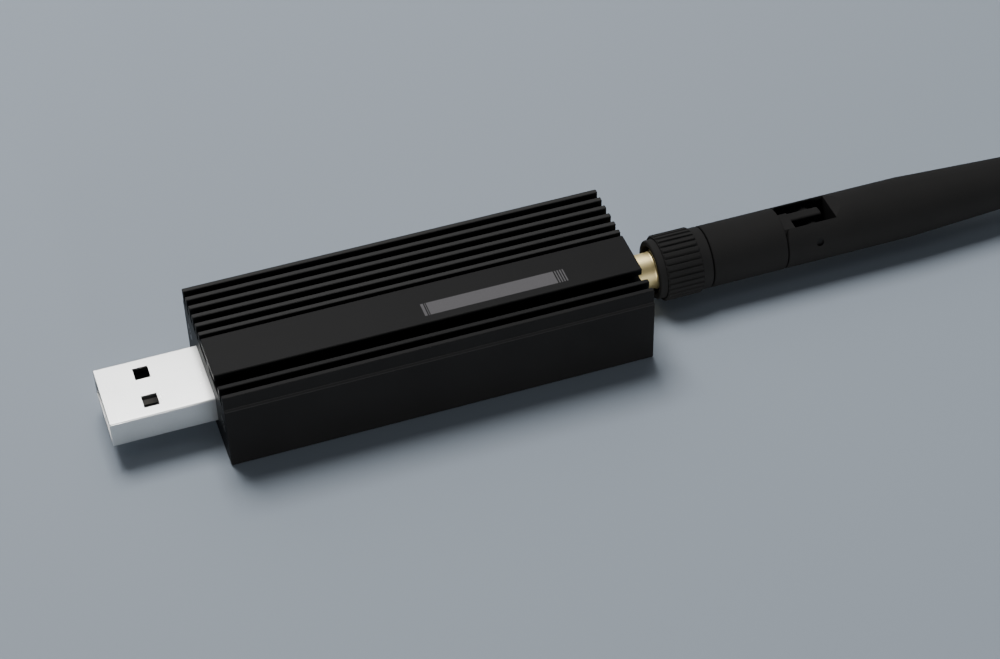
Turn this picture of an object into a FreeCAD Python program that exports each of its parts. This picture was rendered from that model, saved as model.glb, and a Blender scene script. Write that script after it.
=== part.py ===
import FreeCAD, Part
import math
import os

# A radio stick for home automation: a finned aluminium housing with a plug at one end
# and a swivelling, folding antenna at the other.
# Millimetres. +Z is up, +X points to the antenna, +Y is the side with more fins.
# The origin is the centre of the housing's flat underside.

Vector = FreeCAD.Vector
ALONG_X = Vector(1, 0, 0)
ALONG_Y = Vector(0, 1, 0)

# Housing, one extrusion
housing_length = 65.8
housing_width = 25.5
housing_height = 13.4
side_wall = 1.5
floor_thickness = 1.3
roof_thickness = 1.2
underside_radius = 0.25
end_chamfer = 0.1

# Ledge along each side, below the outer fins
ledge_inset = 0.4
ledge_drop = 2.5
ledge_rise = 0.2
ledge_radius = 0.2

# Fins and the raised plateau on top
fin_depth = 2.4
fin_thickness = 0.8
fin_pitch = 2.0
fin_tip_radius = 0.15
narrowest_groove = 0.5
plateau_width = 8.15
plateau_y = -3.25
plateau_slab = 1.1
plateau_web = 1.2

# Rails inside the side walls, which carry the board and the screws
rail_width = 2.85
rail_below_board = 0.85
rail_above_screw = 1.55
card_slot_depth = 0.55
card_clearance = 0.05

# End plates, each flush in a rebate
plate_thickness = 1.2
plate_rim = 0.8
plate_clearance = 0.1
plate_corner_radius = 0.5

# End plate screws
screw_inset = 2.55
screw_above_board = 1.3
screw_length = 6.0
screw_radius = 0.9
screw_head_radius = 1.4
screw_clearance = 0.05
cross_recess_depth = 0.35
cross_recess_width = 0.35
cross_recess_span = 1.7

# Plug: shell, insulator and contacts
plug_above_board = 0.1
plug_projection = 15.65
plug_inside = 3.15
plug_width = 12.0
plug_height = 4.5
plug_sheet = 0.3
plug_corner_radius = 0.4
plug_rim_radius = 0.12
plug_clearance = 0.1
window_length = 2.3
window_width = 2.5
window_setback = 6.7
window_y = 3.0
ear_side_gap = 0.9
ear_length = 1.2
ear_setback = 0.15
tongue_setback = 0.5
tongue_proud = 0.05
plug_block_length = 3.6
contact_thickness = 0.2
contact_width = 1.0
outer_contact_y = 3.5
inner_contact_y = 1.0
outer_contact_setback = 1.6
inner_contact_setback = 2.6
contact_foot = 1.4

# Circuit board
board_thickness = 1.0
board_end_gap = 0.3
board_slot_gap = 0.05
notch_clearance = 0.1
notch_room = 0.6

# Parts on the board, in a row from the plug to the radio; each gap is to the piece before
chip_lead_thickness = 0.2
chip_dimple_radius = 0.35
chip_dimple_depth = 0.15
chip_dimple_inset = 0.9
protection_chip_size = (2.9, 1.6, 1.1)
protection_lead_span = 2.7
protection_lead_width = 0.45
protection_lead_pitch = 0.95
protection_gap = 1.95
serial_chip_size = (5.0, 5.0, 0.85)
serial_chip_gap = 0.8
regulator_size = (3.5, 6.5, 1.6)
regulator_gap = 2.25
regulator_lead = 1.7
regulator_tab_width = 3.0
regulator_lead_width = 0.75
regulator_lead_pitch = 2.3
switch_size = (4.2, 3.2, 1.6)
switch_side_gap = 1.2
button_radius = 0.9
button_proud = 0.6
button_travel = 0.25
button_clearance = 0.05
button_floor = 0.3
button_collar = 0.3
switch_roof = 0.3
light_size = (1.6, 0.8, 0.45)
light_lens_radius = 0.35
light_lens_height = 0.2
light_gap = 3.0
light_side_gap = 1.4
capacitor_size = (1.6, 0.8, 0.8)
capacitor_count = 5
capacitor_pitch = 2.4
resistor_size = (1.0, 0.5, 0.35)
resistor_gap = 0.55
resistor_count = 6
resistor_pitch = 2.0
inductor_size = (3.0, 3.0, 1.5)
inductor_radius = 1.25
inductor_recess = 0.3
inductor_gap = 1.5

# Radio under its shield can, in front of the jack
shield_length = 20.0
shield_height = 2.3
shield_side_gap = 1.1
shield_sheet = 0.2
shield_corner_radius = 0.6
shield_from_jack = 8.0
shield_hole_radius = 0.5
shield_hole_pitch = 3.2
radio_chip_size = (7.0, 7.0, 0.9)
radio_chip_offset = -3.6
crystal_offset = 5.4
radio_crystal_size = (2.5, 3.2, 0.7)
clock_crystal_size = (1.5, 3.2, 0.8)
crystal_side_gap = 2.2

# Antenna jack
jack_lift = 0.05
flange_size = 6.4
flange_thickness = 1.6
leg_size = 1.0
leg_length = 4.0
leg_y = 2.6
jack_hole_clearance = 0.15
neck_wall = 0.75
neck_length = 3.6
thread_radius = 3.15
thread_length = 7.3
thread_pitch = 0.7
thread_depth = 0.3
thread_crest = 0.2
jack_bore_radius = 2.1
dielectric_clearance = 0.05
socket_radius = 0.63
socket_depth = 3.6
tail_radius = 0.4
tail_length = 2.6

# Connector of the antenna
face_gap = 0.1
core_head_clearance = 0.1
core_head_length = 1.0
core_shank_radius = 2.5
core_shank_length = 7.0
core_bore_radius = 1.5
pin_radius = 0.45
pin_reach = 2.8
running_clearance = 0.05
nut_radius = 3.75
nut_wall = 0.9
ring_clearance = 0.4
ring_thickness = 0.5
ring_groove_depth = 0.4

# Knurled sleeve
sleeve_front_step = 0.23
rib_height = 0.32
rib_depth = 0.25
rib_count = 32
rib_groove_radius = 0.35
rib_end_chamfer = 0.12
front_collar = 1.15
rib_length = 5.9
rear_collar = 1.75
sleeve_overhang = 0.15
sleeve_front_edge = 0.3
nut_recess = 2.0
turning_gap = 0.1

# Swivel base with its tongue
antenna_radius = 4.88
base_length = 12.2
bulkhead = 2.25
base_wall = 1.28
base_end_wall = 1.95
root_half_width = 2.65
root_floor_gap = 0.8
tongue_half_width = 0.95
tongue_half_height = 2.52
tongue_reach = 1.87
tongue_corner_radius = 0.6
tongue_edge_radius = 0.45
boss_radius = 1.4
boss_gap = 0.05

# Hinge and blade
hinge_gap = 0.2
pivot_above_axis = 1.43
cheek_reach = 5.18
cheek_clearance = 0.1
tongue_end_clearance = 0.45
fold_clearance = 0.08
slot_floor = 1.2
end_wall_drop = 0.74
facet_length = 1.65
shoulder_clearance = 0.08
heel_clearance = 0.08
hinge_pin_radius = 0.6
hinge_pin_sink = 0.27
crease_from_pivot = 16.17
taper_length = 17.0
taper_end_radius = 4.06
taper_fade = 13.5
tip_radius = 3.7
tip_round = 2.2
blade_length = 86.35
blade_wall = 1.2
blade_bore_start = 5.7
blade_tip_wall = 4.0
edge_break = 0.1

# Coax and dipole inside the antenna
coax_radius = 0.65
coax_clearance = 0.05
dipole_tip_gap = 2.0
dipole_sleeve_length = 26.0
dipole_sleeve_wall = 0.3
dipole_clearance = 0.3
dipole_wire_radius = 0.4
dipole_wire_length = 26.0

# Places that follow from the sizes above
usb_end = -housing_length / 2
antenna_end = housing_length / 2
half_width = housing_width / 2
fin_face = half_width - ledge_inset
ledge_z = housing_height - ledge_drop
groove_floor = housing_height - fin_depth
ceiling = groove_floor - roof_thickness
cavity_half_width = half_width - side_wall
rail_face = cavity_half_width - rail_width
antenna_z = groove_floor / 2 + jack_lift
board_top = antenna_z - tail_radius
board_bottom = board_top - board_thickness
screw_y = half_width - screw_inset
screw_z = board_top + screw_above_board
plug_z = board_top + plug_above_board
plug_front = usb_end - plug_projection
plug_rear = usb_end + plug_inside
notch_end = plug_rear + notch_room
board_front = usb_end + plate_thickness + board_end_gap
flange_rear = antenna_end - plate_thickness - flange_thickness
neck_radius = jack_bore_radius + neck_wall
nut_bore_radius = thread_radius + running_clearance
thread_start = antenna_end + neck_length
jack_face = thread_start + thread_length
core_front = jack_face + face_gap
shank_start = core_front + core_head_length
nut_wall_front = shank_start + face_gap
nut_rear = nut_wall_front + nut_wall
sleeve_rear = nut_rear + sleeve_overhang
ribs_rear = sleeve_rear - rear_collar
ribs_front = ribs_rear - rib_length
sleeve_front = ribs_front - front_collar
nut_front = sleeve_front + nut_recess
core_rear = shank_start + core_shank_length
base_front = sleeve_rear + turning_gap
base_rear = base_front + base_length
base_bore_radius = antenna_radius - base_wall
ring_front = base_front + bulkhead + turning_gap
blade_front = base_rear + hinge_gap
pivot_x = blade_front + cheek_reach
pivot_z = antenna_z + pivot_above_axis
root_end = pivot_x - (antenna_radius - pivot_above_axis) - fold_clearance
slot_half_width = root_half_width + cheek_clearance
slot_floor_z = antenna_z - antenna_radius + slot_floor
tongue_sweep = math.hypot(tongue_reach - tongue_corner_radius,
                          tongue_half_height - tongue_corner_radius) + tongue_corner_radius
slot_end = pivot_x + tongue_sweep + tongue_end_clearance
crease_x = pivot_x + crease_from_pivot
blade_tip = blade_front + blade_length
shield_rear = flange_rear - shield_from_jack
shield_front = shield_rear - shield_length
shield_x = (shield_front + shield_rear) / 2
shield_width = 2 * (rail_face - shield_side_gap)
radio_chip_x = shield_x + radio_chip_offset
crystal_x = shield_x + crystal_offset
crystal_y = shield_width / 2 - shield_sheet - crystal_side_gap - radio_crystal_size[1] / 2
protection_x = notch_end + protection_gap + protection_chip_size[0] / 2
resistor_x = protection_x + protection_chip_size[0] / 2 + resistor_gap + resistor_size[0] / 2
serial_chip_x = resistor_x + resistor_size[0] / 2 + serial_chip_gap + serial_chip_size[0] / 2
switch_y = rail_face - switch_side_gap - switch_size[1] / 2
light_x = serial_chip_x + switch_size[0] / 2 + light_gap + light_size[0] / 2
light_y = rail_face - light_side_gap - light_size[1] / 2
regulator_front = serial_chip_x + serial_chip_size[0] / 2 + regulator_gap
regulator_x = regulator_front + regulator_lead + regulator_size[0] / 2
regulator_rear = regulator_x + regulator_size[0] / 2 + regulator_lead
inductor_x = light_x + light_size[0] / 2 + inductor_gap + inductor_size[0] / 2
inductor_y = (regulator_size[1] / 2 + rail_face) / 2
capacitor_x = (regulator_rear + shield_front) / 2
blade_bore_radius = tip_radius - blade_wall
blade_bore_end = blade_tip - blade_tip_wall
dipole_wire_end = blade_bore_end - dipole_tip_gap
dipole_feed = dipole_wire_end - dipole_wire_length - face_gap
dipole_front = dipole_feed - dipole_sleeve_length


def block(x0, x1, y0, y1, z0, z1):
    """A rectangular block between two corners."""
    return Part.makeBox(x1 - x0, y1 - y0, z1 - z0, Vector(x0, y0, z0))


def bar(x0, x1, radius, y=0, z=antenna_z):
    """A round bar along X, on the antenna's axis unless told otherwise."""
    return Part.makeCylinder(radius, x1 - x0, Vector(x0, y, z), ALONG_X)


def cross_bar(half_length, radius):
    """A round bar across the stick, on the hinge's axis."""
    return Part.makeCylinder(radius, 2 * half_length, Vector(pivot_x, -half_length, pivot_z), ALONG_Y)


def turned(outline):
    """A solid turned about the antenna's axis from its (x, radius) outline."""
    points = [Vector(x, 0, antenna_z + radius) for x, radius in outline]
    face = Part.Face(Part.makePolygon(points + points[:1]))
    return face.revolve(Vector(0, 0, antenna_z), ALONG_X, 360)


def side_plate(outline, half_thickness):
    """A slab whose outline is drawn in X and Z, centred on the middle of the stick."""
    points = [Vector(x, -half_thickness, z) for x, z in outline]
    face = Part.Face(Part.makePolygon(points + points[:1]))
    return face.extrude(Vector(0, 2 * half_thickness, 0))


def edges_where(shape, test):
    """The edges of a shape whose two end points both pass a test."""
    return [edge for edge in shape.Edges if all(test(vertex.Point) for vertex in edge.Vertexes)]


def runs_along_x(edge):
    """Whether an edge is straight and parallel to X."""
    if not isinstance(edge.Curve, (Part.Line, Part.LineSegment)):
        return False
    return abs(abs(edge.tangentAt(edge.FirstParameter).x) - 1) < 1e-6


def rounded_block(x0, x1, width, height, middle_z, radius):
    """A block along X with its four long edges rounded."""
    solid = block(x0, x1, -width / 2, width / 2, middle_z - height / 2, middle_z + height / 2)
    return solid.makeFillet(radius, [edge for edge in solid.Edges if runs_along_x(edge)])


def on_board(x, y, size):
    """A block that stands on the board, given its middle and its three sizes."""
    length, width, height = size
    left, near = x - length / 2, y - width / 2
    return block(left, left + length, near, near + width, board_top, board_top + height)


def lands():
    """The spans in Y that stay up between the grooves, from the near side to the far side."""
    plateau = (plateau_y - plateau_width / 2, plateau_y + plateau_width / 2)
    spans = [plateau]
    outer = fin_face
    while outer - fin_thickness - plateau[1] > narrowest_groove:
        spans.append((outer - fin_thickness, outer))
        outer -= fin_pitch
    outer = -fin_face
    while plateau[0] - outer - fin_thickness > narrowest_groove:
        spans.append((outer, outer + fin_thickness))
        outer += fin_pitch
    return sorted(spans)


def is_on_side(edge):
    """Whether a long edge of the housing borders one of its two sides, above or below the ledge."""
    return runs_along_x(edge) and abs(edge.Vertexes[0].Point.y) > fin_face - 1e-6


def groove_cutters():
    """The grooves between the fins, and the hollows under the plateau's overhangs."""
    standing = lands()
    cutters = []
    for left, right in zip(standing, standing[1:]):
        cutters.append(block(usb_end, antenna_end, left[1], right[0], groove_floor, housing_height))
    slab_z = housing_height - plateau_slab
    for side in (-1, 1):
        edge = plateau_y + side * plateau_width / 2
        web = plateau_y + side * plateau_web / 2
        cutters.append(block(usb_end, antenna_end, min(edge, web), max(edge, web), groove_floor, slab_z))
    return cutters


def cavity():
    """The space inside the housing: two rails with card slots leave the rest open."""
    room = block(usb_end, antenna_end, -cavity_half_width, cavity_half_width, floor_thickness, ceiling)
    for side in (-1, 1):
        wall, face = side * cavity_half_width, side * rail_face
        rail_bottom, rail_top = board_bottom - rail_below_board, screw_z + rail_above_screw
        room = room.cut(block(usb_end, antenna_end, min(wall, face), max(wall, face), rail_bottom, rail_top))
        slot_wall = side * (rail_face + card_slot_depth)
        room = room.fuse(block(usb_end, antenna_end, min(face, slot_wall), max(face, slot_wall),
                               board_bottom - card_clearance, board_top + card_clearance))
    return room


def plate_outline(x0, x1, clearance):
    """The rounded rectangle of an end plate, or of its rebate with no clearance."""
    width = 2 * (half_width - plate_rim - clearance)
    height = groove_floor - 2 * (plate_rim + clearance)
    return rounded_block(x0, x1, width, height, groove_floor / 2, plate_corner_radius)


def housing_extrusion():
    """The finned aluminium extrusion, open at both ends."""
    half = [(half_width, 0), (half_width, ledge_z), (fin_face, ledge_z + ledge_rise),
            (fin_face, housing_height)]
    outline = half + [(-y, z) for y, z in reversed(half)]
    points = [Vector(usb_end, y, z) for y, z in outline]
    face = Part.Face(Part.makePolygon(points + points[:1]))
    solid = face.extrude(Vector(housing_length, 0, 0))
    solid = solid.cut(groove_cutters())
    tips = edges_where(solid, lambda p: abs(p.z - housing_height) < 1e-6)
    solid = solid.makeFillet(fin_tip_radius, [edge for edge in tips if runs_along_x(edge)])
    ledge_ends = (ledge_z, ledge_z + ledge_rise)
    ledges = edges_where(solid, lambda p: min(abs(p.z - z) for z in ledge_ends) < 1e-6)
    solid = solid.makeFillet(ledge_radius, [edge for edge in ledges if is_on_side(edge)])
    feet = edges_where(solid, lambda p: abs(p.z) < 1e-6)
    solid = solid.makeFillet(underside_radius, [edge for edge in feet if runs_along_x(edge)])
    for end in (usb_end, antenna_end):
        rim = edges_where(solid, lambda p: abs(p.x - end) < 1e-6)
        solid = solid.makeChamfer(end_chamfer, rim)
    solid = solid.cut(cavity())
    for y in (-screw_y, screw_y):
        solid = solid.cut(bar(usb_end, antenna_end, screw_radius + screw_clearance, y, screw_z))
    solid = solid.cut(plate_outline(usb_end, usb_end + plate_thickness, 0))
    return solid.cut(plate_outline(antenna_end - plate_thickness, antenna_end, 0))


def screw(face_x, inward, y, clearance):
    """A countersunk screw from a plate's face; with a clearance, the hole that takes it."""
    place = Vector(face_x, y, screw_z)
    direction = Vector(inward, 0, 0)
    taper = screw_head_radius - screw_radius
    head = Part.makeCone(screw_head_radius + clearance, screw_radius + clearance, taper, place, direction)
    return head.fuse(Part.makeCylinder(screw_radius + clearance, screw_length, place, direction))


def cross_recess(face_x, inward, y):
    """The cross-shaped recess in a screw's head."""
    depth = sorted((face_x, face_x + inward * cross_recess_depth))
    long, short = cross_recess_span / 2, cross_recess_width / 2
    upright = block(depth[0], depth[1], y - short, y + short, screw_z - long, screw_z + long)
    return upright.fuse(block(depth[0], depth[1], y - long, y + long, screw_z - short, screw_z + short))


def plate_screws(face_x, inward):
    """The two screws of one end plate."""
    screws = [screw(face_x, inward, y, 0).cut(cross_recess(face_x, inward, y)) for y in (-screw_y, screw_y)]
    return Part.makeCompound(screws)


def end_plate(face_x, inward, opening):
    """A flush end plate with an opening and two countersunk holes."""
    inner_x = face_x + inward * plate_thickness
    plate = plate_outline(min(face_x, inner_x), max(face_x, inner_x), plate_clearance)
    for y in (-screw_y, screw_y):
        plate = plate.cut(screw(face_x, inward, y, screw_clearance))
    return plate.cut(opening)


def usb_end_plate():
    """The end plate that the plug passes through."""
    opening = rounded_block(usb_end, usb_end + plate_thickness, plug_width + 2 * plug_clearance,
                            plug_height + 2 * plug_clearance, plug_z, plug_corner_radius + plug_clearance)
    return end_plate(usb_end, 1, opening)


def antenna_end_plate():
    """The end plate that the jack passes through."""
    opening = bar(antenna_end - plate_thickness, antenna_end, thread_radius + jack_hole_clearance)
    return end_plate(antenna_end, -1, opening)


def plug_shell():
    """The folded steel shell of the plug, with two windows in its top and two in its underside."""
    shell = rounded_block(plug_front, plug_rear, plug_width, plug_height, plug_z, plug_corner_radius)
    shell = shell.makeFillet(plug_rim_radius, edges_where(shell, lambda p: abs(p.x - plug_front) < 1e-6))
    inside = rounded_block(plug_front, plug_rear, plug_width - 2 * plug_sheet,
                           plug_height - 2 * plug_sheet, plug_z, plug_corner_radius - plug_sheet)
    shell = shell.cut(inside)
    x0 = plug_front + window_setback - window_length / 2
    for side in (-1, 1):
        y0 = side * window_y - window_width / 2
        shell = shell.cut(block(x0, x0 + window_length, y0, y0 + window_width,
                                plug_z - plug_height, plug_z + plug_height))
    for side in (-1, 1):
        root, reach = side * (plug_width - plug_sheet) / 2, side * (rail_face - ear_side_gap)
        ear = block(plug_rear - ear_setback - ear_length, plug_rear - ear_setback, min(root, reach),
                    max(root, reach), board_top, board_top + plug_sheet)
        shell = shell.fuse(ear)
    return shell


def contact_bars():
    """The four flat contacts: they run along the tongue and end on the board."""
    bars = []
    for y in (-outer_contact_y, -inner_contact_y, inner_contact_y, outer_contact_y):
        setback = outer_contact_setback if abs(y) == outer_contact_y else inner_contact_setback
        bars.append(block(plug_front + setback, notch_end + contact_foot, y - contact_width / 2,
                          y + contact_width / 2, board_top, board_top + contact_thickness))
    return bars


def plug_contacts():
    """The plug's contacts as one group."""
    return Part.makeCompound(contact_bars())


def plug_insulator():
    """The moulding in the plug: a tongue under the contacts and a block that fills the rear."""
    inner_half = plug_width / 2 - plug_sheet
    bottom = plug_z - plug_height / 2 + plug_sheet
    top = plug_z + plug_height / 2 - plug_sheet
    tongue_top = board_top + contact_thickness - tongue_proud
    tongue = block(plug_front + tongue_setback, plug_rear, -inner_half, inner_half, bottom, tongue_top)
    rear = block(plug_rear - plug_block_length, plug_rear, -inner_half, inner_half, bottom, top)
    solid = tongue.fuse(rear).removeSplitter()
    corner = plug_corner_radius - plug_sheet
    low = edges_where(solid, lambda p: abs(p.z - bottom) < 1e-6)
    high = edges_where(solid, lambda p: abs(p.z - top) < 1e-6)
    solid = solid.makeFillet(corner, [edge for edge in low + high if runs_along_x(edge)])
    return solid.cut(contact_bars())


def circuit_board():
    """The board, notched for the sunk plug, from the plug's plate to the jack's flange."""
    half = rail_face + card_slot_depth - board_slot_gap
    board = block(board_front, flange_rear, -half, half, board_bottom, board_top)
    notch_half = plug_width / 2 + notch_clearance
    return board.cut(block(board_front, notch_end, -notch_half, notch_half, board_bottom, board_top))


def protection_chip():
    """The surge protection chip with its six short leads."""
    chip = on_board(protection_x, 0, protection_chip_size)
    lead_size = (protection_lead_width, protection_lead_span, chip_lead_thickness)
    for step in (-1, 0, 1):
        chip = chip.fuse(on_board(protection_x + step * protection_lead_pitch, 0, lead_size))
    return chip


def flat_chip(x, y, size):
    """A leadless chip with a round dimple at its first pad."""
    length, width, height = size
    place = Vector(x - length / 2 + chip_dimple_inset, y - width / 2 + chip_dimple_inset,
                   board_top + height - chip_dimple_depth)
    return on_board(x, y, size).cut(Part.makeCylinder(chip_dimple_radius, chip_dimple_depth, place))


def serial_chip():
    """The chip between the plug and the radio."""
    return flat_chip(serial_chip_x, 0, serial_chip_size)


def voltage_regulator():
    """The voltage regulator with its broad tab and its three leads."""
    body = on_board(regulator_x, 0, regulator_size)
    tab = on_board(regulator_rear - regulator_lead / 2, 0,
                   (regulator_lead, regulator_tab_width, chip_lead_thickness))
    body = body.fuse(tab)
    for step in (-1, 0, 1):
        lead = on_board(regulator_front + regulator_lead / 2, step * regulator_lead_pitch,
                        (regulator_lead, regulator_lead_width, chip_lead_thickness))
        body = body.fuse(lead)
    return body


def button_shape(side, clearance):
    """A button at rest, with its collar; with a clearance, the room that it needs."""
    floor_z = board_top + button_floor + (0 if clearance else button_travel + button_clearance)
    top_z = board_top + switch_size[2] + button_proud
    roof_z = board_top + switch_size[2] - switch_roof
    place = Vector(serial_chip_x, side * switch_y, floor_z)
    stem = Part.makeCylinder(button_radius + clearance, top_z - floor_z, place)
    collar_top = roof_z if clearance else roof_z - button_clearance
    collar_radius = button_radius + button_collar + clearance
    return stem.fuse(Part.makeCylinder(collar_radius, collar_top - floor_z, place))


def switch_frame(side):
    """A small push switch without its button, beside the chip."""
    frame = on_board(serial_chip_x, side * switch_y, switch_size)
    return frame.cut(button_shape(side, button_clearance))


def status_lights():
    """Two small lights, one towards each side."""
    lights = []
    for side in (-1, 1):
        top = Vector(light_x, side * light_y, board_top + light_size[2])
        lens = Part.makeCylinder(light_lens_radius, light_lens_height, top)
        lights.append(on_board(light_x, side * light_y, light_size).fuse(lens))
    return Part.makeCompound(lights)


def row_on_board(x, size, count, pitch):
    """A row of like small parts across the board."""
    places = [(step - (count - 1) / 2) * pitch for step in range(count)]
    return Part.makeCompound([on_board(x, y, size) for y in places])


def inductors():
    """Two wound coils on square feet, each with a recessed top."""
    coils = []
    for side in (-1, 1):
        coil = on_board(inductor_x, side * inductor_y, inductor_size)
        top = Vector(inductor_x, side * inductor_y, board_top + inductor_size[2] - inductor_recess)
        coils.append(coil.cut(Part.makeCylinder(inductor_radius, inductor_recess, top)))
    return Part.makeCompound(coils)


def shield_can():
    """The folded shield over the radio, open below, with a row of vents."""
    can = on_board(shield_x, 0, (shield_length, shield_width, shield_height))
    upright = [edge for edge in can.Edges if abs(edge.tangentAt(edge.FirstParameter).z) > 1 - 1e-6]
    can = can.makeFillet(shield_corner_radius, upright)
    inner = (shield_length - 2 * shield_sheet, shield_width - 2 * shield_sheet,
             shield_height - shield_sheet)
    can = can.cut(on_board(shield_x, 0, inner))
    count = int((shield_length - 2 * shield_hole_pitch) / shield_hole_pitch) + 1
    for step in range(count):
        x = shield_x + (step - (count - 1) / 2) * shield_hole_pitch
        for y in (-shield_width / 4, shield_width / 4):
            place = Vector(x, y, board_top + shield_height / 2)
            can = can.cut(Part.makeCylinder(shield_hole_radius, shield_height, place))
    return can


def radio_chip():
    """The radio chip under the shield."""
    return flat_chip(radio_chip_x, 0, radio_chip_size)


def jack_body():
    """The jack: legs that straddle the board, a square flange, a plain neck and a thread."""
    half = flange_size / 2
    body = block(flange_rear, flange_rear + flange_thickness, -half, half, antenna_z - half, antenna_z + half)
    leg_start = flange_rear - leg_length
    for side in (-1, 1):
        for z0 in (board_top, board_bottom - leg_size):
            y0 = side * leg_y - leg_size / 2
            body = body.fuse(block(leg_start, flange_rear, y0, y0 + leg_size, z0, z0 + leg_size))
    body = body.fuse(bar(flange_rear + flange_thickness, thread_start, neck_radius))
    root = thread_radius - thread_depth
    outline = [(thread_start, 0), (thread_start, root)]
    turns = int(thread_length / thread_pitch)
    pitch = thread_length / turns
    for turn in range(turns):
        middle = thread_start + (turn + 0.5) * pitch
        outline.append((middle - thread_crest / 2, thread_radius))
        outline.append((middle + thread_crest / 2, thread_radius))
        outline.append((middle + pitch / 2, root))
    outline.append((jack_face, 0))
    body = body.fuse(turned(outline))
    return body.cut(bar(flange_rear, jack_face, jack_bore_radius))


def jack_insulator():
    """The white tube between the jack's body and its centre contact."""
    tube = bar(flange_rear, jack_face - dielectric_clearance, jack_bore_radius - dielectric_clearance)
    return tube.cut(bar(flange_rear, jack_face, socket_radius + dielectric_clearance))


def jack_centre_contact():
    """The centre contact: a socket at the mouth and a tail that lies on the board."""
    mouth = jack_face - 2 * dielectric_clearance
    contact = bar(flange_rear, mouth, socket_radius)
    contact = contact.fuse(bar(flange_rear - tail_length, flange_rear, tail_radius))
    return contact.cut(bar(mouth - socket_depth, mouth, pin_radius + dielectric_clearance))


def connector_core():
    """The core that the nut pulls against the jack, and that the swivel base turns on."""
    groove = ring_front
    groove_rear = groove + ring_thickness + 2 * running_clearance
    bottom = core_shank_radius - ring_groove_depth
    head = nut_bore_radius - core_head_clearance
    return turned([
        (core_front, core_bore_radius), (core_front, head),
        (shank_start, head), (shank_start, core_shank_radius),
        (groove - running_clearance, core_shank_radius), (groove - running_clearance, bottom),
        (groove_rear, bottom), (groove_rear, core_shank_radius),
        (core_rear, core_shank_radius), (core_rear, core_bore_radius)])


def connector_insulator():
    """The white tube in the core."""
    tube = bar(core_front, core_rear, core_bore_radius - dielectric_clearance)
    return tube.cut(bar(core_front, core_rear, pin_radius + dielectric_clearance))


def connector_pin():
    """The centre pin, from inside the jack's socket to the coax."""
    return bar(core_front - pin_reach, core_rear, pin_radius)


def retaining_ring():
    """The ring in the core's groove, behind the base's bulkhead."""
    inner = core_shank_radius - ring_groove_depth + running_clearance
    ring = bar(ring_front, ring_front + ring_thickness, base_bore_radius - ring_clearance)
    return ring.cut(bar(ring_front, ring_front + ring_thickness, inner))


def coupling_nut():
    """The brass nut that turns freely on the core."""
    nut = bar(nut_front, nut_rear, nut_radius)
    nut = nut.cut(bar(nut_front, nut_wall_front, nut_bore_radius))
    return nut.cut(bar(nut_wall_front, nut_rear, core_shank_radius + running_clearance))


def knurled_sleeve():
    """The plastic grip over the nut, with lengthwise ribs and a hollow mouth in front of the nut."""
    front = antenna_radius - sleeve_front_step
    crest = antenna_radius + rib_height
    bore = nut_radius + running_clearance
    sleeve = turned([
        (sleeve_front, bore), (sleeve_front, front - sleeve_front_edge),
        (sleeve_front + sleeve_front_edge, front), (ribs_front, front),
        (ribs_front, crest - rib_end_chamfer), (ribs_front + rib_end_chamfer, crest),
        (ribs_rear - rib_end_chamfer, crest), (ribs_rear, crest - rib_end_chamfer),
        (ribs_rear, antenna_radius), (sleeve_rear - edge_break, antenna_radius),
        (sleeve_rear, antenna_radius - edge_break), (sleeve_rear, bore)])
    cutters = []
    centre_radius = crest - rib_depth + rib_groove_radius
    for step in range(rib_count):
        angle = 2 * math.pi * step / rib_count
        y, z = centre_radius * math.sin(angle), antenna_z + centre_radius * math.cos(angle)
        cutters.append(bar(ribs_front, ribs_rear, rib_groove_radius, y, z))
    return sleeve.cut(cutters)


def swivel_base():
    """The base: a hollow cylinder, a tongue for the hinge and a root as high as the tongue."""
    bore = core_shank_radius + running_clearance
    cavity_start, cavity_end = base_front + bulkhead, base_rear - base_end_wall
    shell = turned([
        (base_front, bore), (base_front, antenna_radius - edge_break),
        (base_front + edge_break, antenna_radius), (base_rear - edge_break, antenna_radius),
        (base_rear, antenna_radius - edge_break), (base_rear, 0), (cavity_end, 0),
        (cavity_end, base_bore_radius), (cavity_start, base_bore_radius), (cavity_start, bore)])
    root_start = base_rear - edge_break
    tongue_top = pivot_z + tongue_half_height
    root = block(root_start, root_end, -root_half_width, tongue_half_width,
                 slot_floor_z + root_floor_gap, tongue_top)
    root = root.common(bar(root_start, root_end, antenna_radius))
    solid = shell.fuse([root, hinge_tongue(), cross_bar(slot_half_width - boss_gap, boss_radius)])
    solid = solid.cut(cross_bar(slot_half_width, hinge_pin_radius + running_clearance))
    return solid.cut(bar(cavity_end, root_end, coax_radius + coax_clearance))


def hinge_tongue():
    """The tongue between the cheeks: its end has round corners that clear the slot when it folds."""
    tip = pivot_x + tongue_reach
    tongue = block(base_rear, tip, -tongue_half_width, tongue_half_width,
                   pivot_z - tongue_half_height, pivot_z + tongue_half_height)
    ends = edges_where(tongue, lambda p: abs(p.x - tip) < 1e-6)
    tongue = tongue.makeFillet(tongue_corner_radius, [edge for edge in ends if edge.BoundBox.ZLength < 1e-6])
    return tongue.makeFillet(tongue_edge_radius, [edge for edge in tongue.Edges if is_on_cheek_side(edge)])


def is_on_cheek_side(edge):
    """Whether an edge of the tongue lies in one of its two broad faces, away from its root."""
    box = edge.BoundBox
    return box.YLength < 1e-6 and box.XMax > root_end


def on_outline(x, radius):
    """A point of the blade's outline, above the antenna's axis."""
    return Vector(x, 0, antenna_z + radius)


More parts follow.
